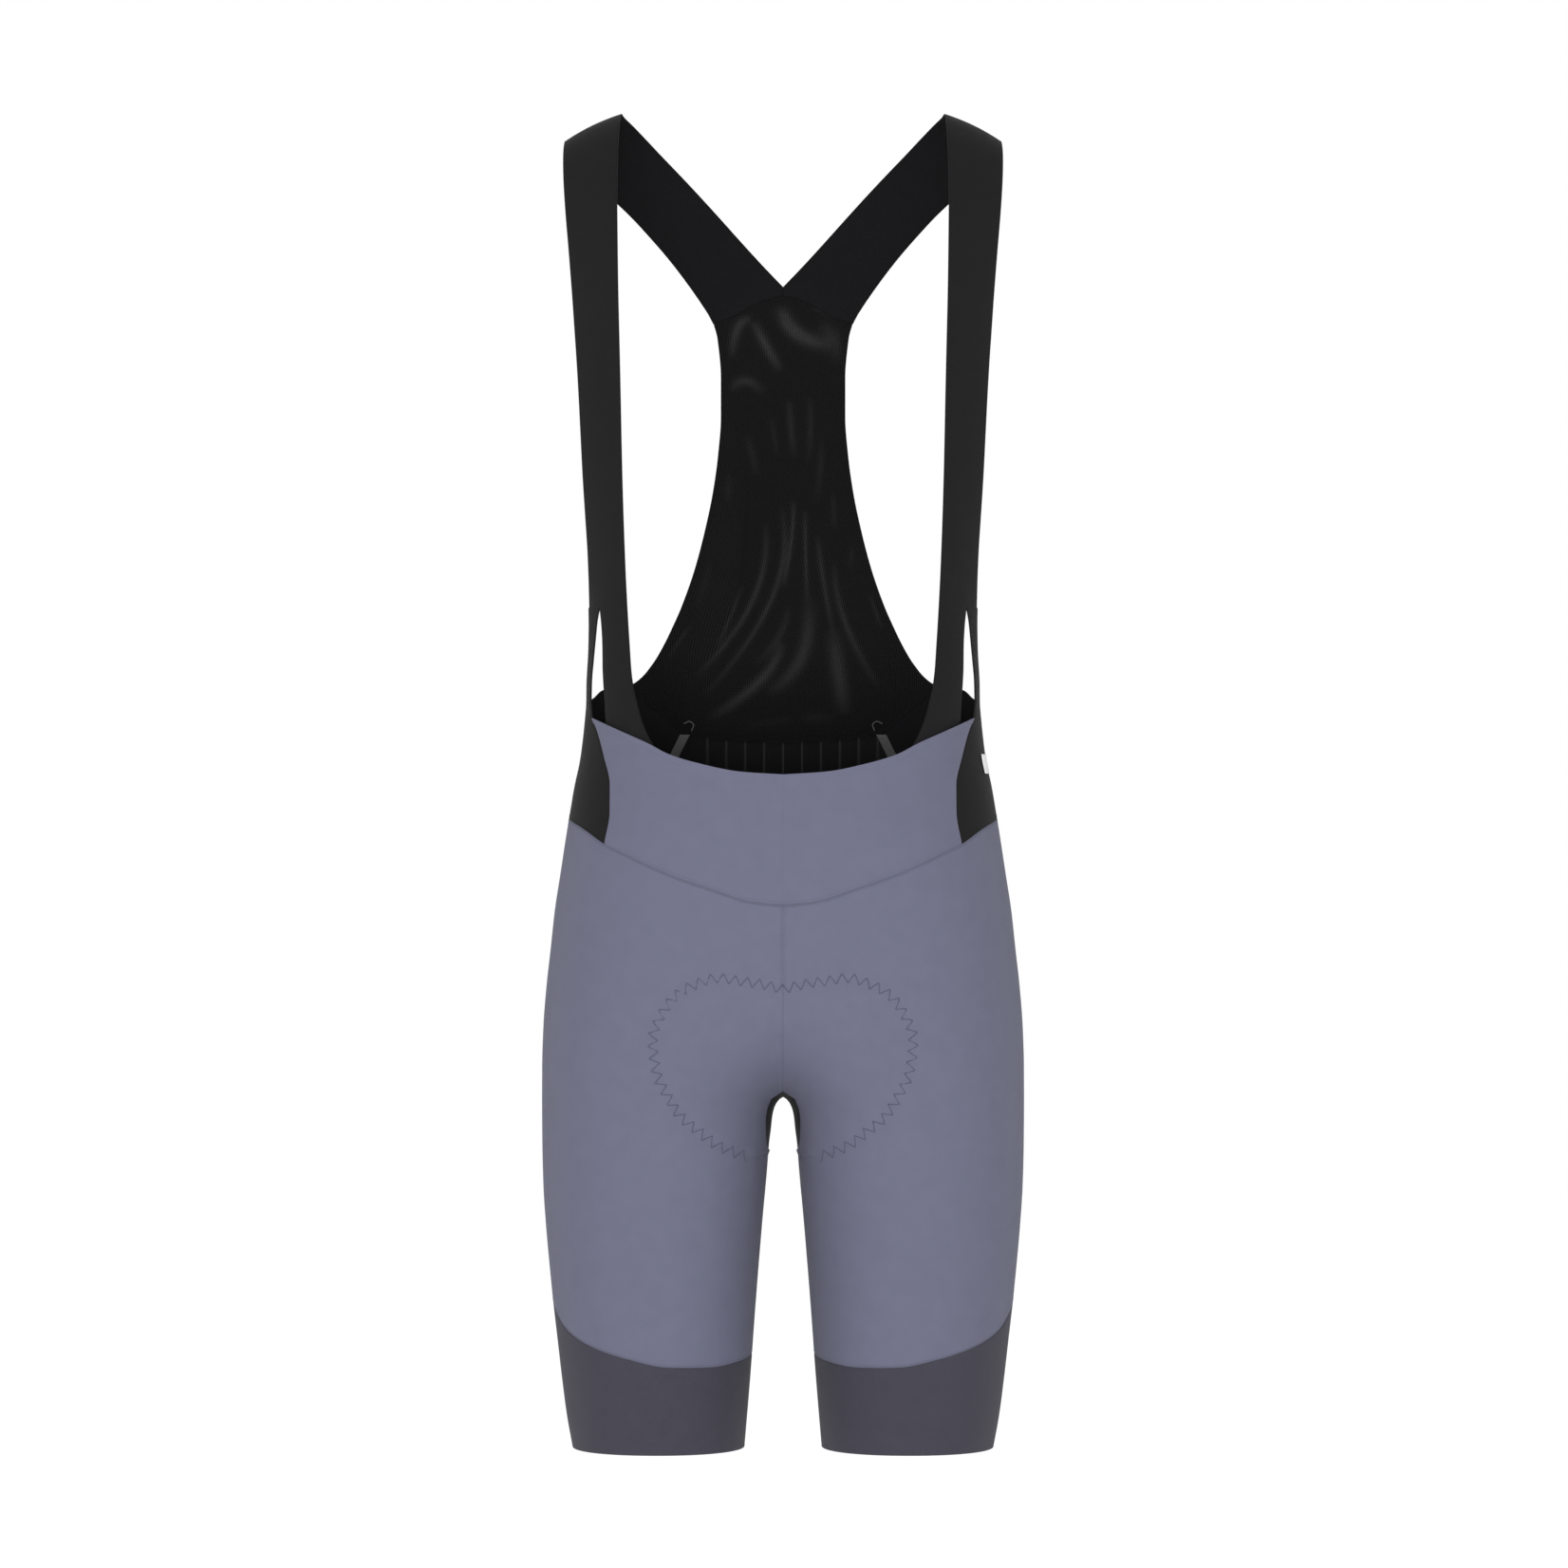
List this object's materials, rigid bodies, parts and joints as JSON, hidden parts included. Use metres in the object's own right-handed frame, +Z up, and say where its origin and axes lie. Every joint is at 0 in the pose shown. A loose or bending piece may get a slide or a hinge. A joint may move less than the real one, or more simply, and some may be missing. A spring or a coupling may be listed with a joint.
{
  "type": "cycling bib shorts",
  "caption": "Hollow worn cycling bib shorts with banded legs, a dipped waistband, slit shoulder straps, a narrow mesh back and a dark saddle insert.",
  "frame": {"origin": "midway between the tops of the two shoulder straps, where the wearer carries the garment", "axes": "+Z up the wearer's body, -Y out of the front, +X to the wearer's left"},
  "size_m": [0.3354, 0.2284, 0.927],
  "materials": {
    "slate_knit": "smooth matt stretch knit with a soft sheen",
    "band_knit": "finely ribbed dark stretch knit",
    "black_knit": "plain black stretch knit",
    "strap_knit": "smooth bonded black stretch knit",
    "black_mesh": "fine black net knit",
    "waist_elastic": "ribbed black elastic knit",
    "seam_tape": "smooth grey bonded tape",
    "patch_film": "plain light grey film"
  },
  "bodies": {
    "root": {"front_yoke": "slate_knit", "front_leg_right": "slate_knit", "front_leg_left": "slate_knit", "back_leg_right": "slate_knit", "back_leg_left": "slate_knit", "leg_band_right": "band_knit", "leg_band_left": "band_knit", "saddle_insert": "black_knit", "strap_right": "strap_knit", "strap_left": "strap_knit", "back_mesh": "black_mesh", "back_waist": "waist_elastic", "seam_tape_right": "seam_tape", "seam_tape_left": "seam_tape", "side_patch": "patch_film"}
  },
  "joints": []
}
